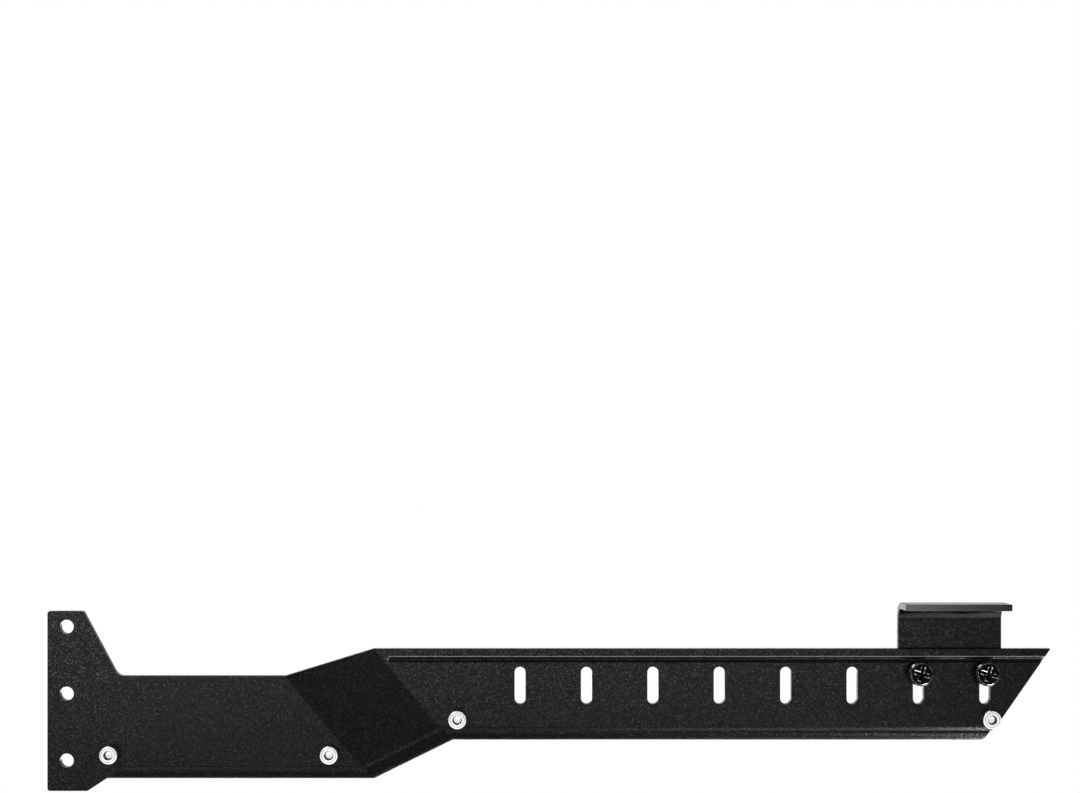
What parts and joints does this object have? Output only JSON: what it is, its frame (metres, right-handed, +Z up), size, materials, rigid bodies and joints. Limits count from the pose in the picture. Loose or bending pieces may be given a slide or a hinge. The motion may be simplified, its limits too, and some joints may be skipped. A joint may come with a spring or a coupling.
{
  "type": "graphics card support bracket",
  "caption": "Long black bracket that screws to the card slots of a computer case and holds up a sagging graphics card on a height-adjustable shelf arm clamped by thumb screws.",
  "frame": {"origin": "centre of the middle card-screw hole, on the tab's back face that lies against the case", "axes": "+X along the bracket towards its free end, +Y out of the tab's back face into the case, +Z up"},
  "size_m": [0.3034, 0.0212, 0.0577],
  "materials": {
    "black_anodised": "fine bead-blasted, black anodised, satin",
    "bright_screw": "bright nickel plate",
    "black_screw": "black-coated steel, semi-gloss"
  },
  "bodies": {
    "bracket": {"front_plate": "black_anodised", "stiffener_rail": "black_anodised", "neck_cap_screw_1": "bright_screw", "neck_cap_screw_2": "bright_screw", "beam_cap_screw_1": "bright_screw", "beam_cap_screw_2": "bright_screw"},
    "arm": {"support_arm": "black_anodised"},
    "left_thumb": {"left_thumb_screw": "black_screw"},
    "right_thumb": {"right_thumb_screw": "black_screw"}
  },
  "joints": [
    {"name": "arm_slide", "type": "slide", "parent": "bracket", "child": "arm", "axis": [0, 0, 1], "range_m": [-0.0071, 0.00015]},
    {"name": "left_thumb_turn", "type": "hinge", "parent": "arm", "child": "left_thumb", "pos_m": [0.2577, -0.0065, 0.0069], "axis": [0, -1, 0], "continuous": true},
    {"name": "right_thumb_turn", "type": "hinge", "parent": "arm", "child": "right_thumb", "pos_m": [0.2777, -0.0065, 0.0069], "axis": [0, -1, 0], "continuous": true}
  ]
}
